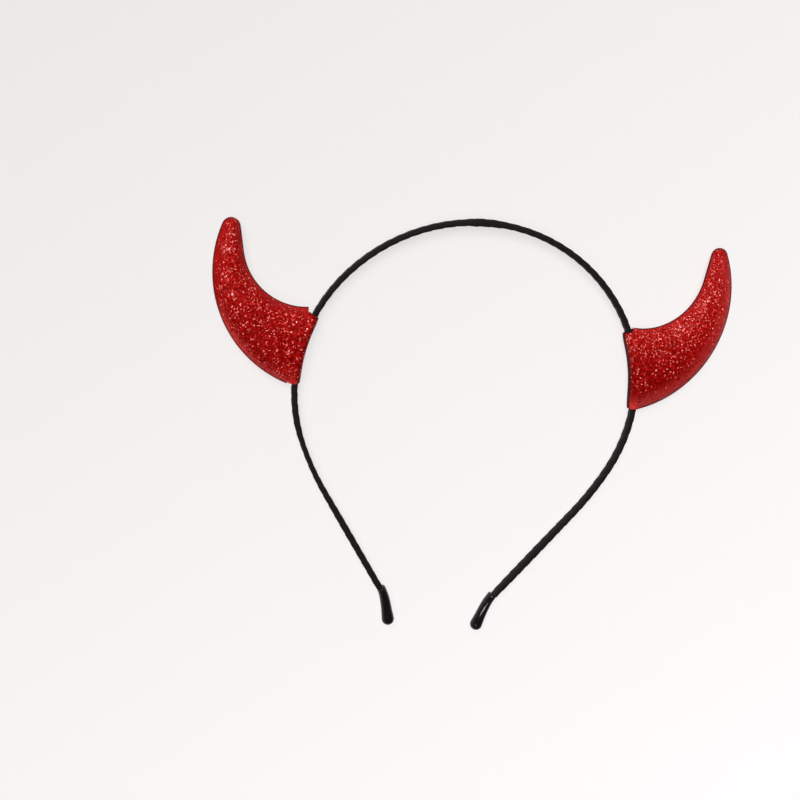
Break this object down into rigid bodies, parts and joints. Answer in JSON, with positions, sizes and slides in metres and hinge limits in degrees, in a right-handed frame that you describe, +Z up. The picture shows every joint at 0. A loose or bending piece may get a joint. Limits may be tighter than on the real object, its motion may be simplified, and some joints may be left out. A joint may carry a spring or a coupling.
{
  "type": "horn headband",
  "caption": "Slim ribbon-wound headband with padded glitter-fabric horns folded round it and a glossy cap on each end, worn on the head as costume dress.",
  "frame": {"origin": "under the middle of the headband's box, on the surface that it lies on", "axes": "+X across the headband towards the right horn, +Y towards the crown, +Z up, out of the horns' front faces"},
  "size_m": [0.1798, 0.146, 0.0077],
  "materials": {
    "ribbon": "black satin ribbon wound in overlapping turns",
    "glitter_fabric": "red glitter on felt, sealed at the edge",
    "cap_plastic": "glossy black"
  },
  "bodies": {
    "root": {"band": "ribbon", "horn_left": "glitter_fabric", "horn_right": "glitter_fabric", "tip_left": "cap_plastic", "tip_right": "cap_plastic"}
  },
  "joints": []
}
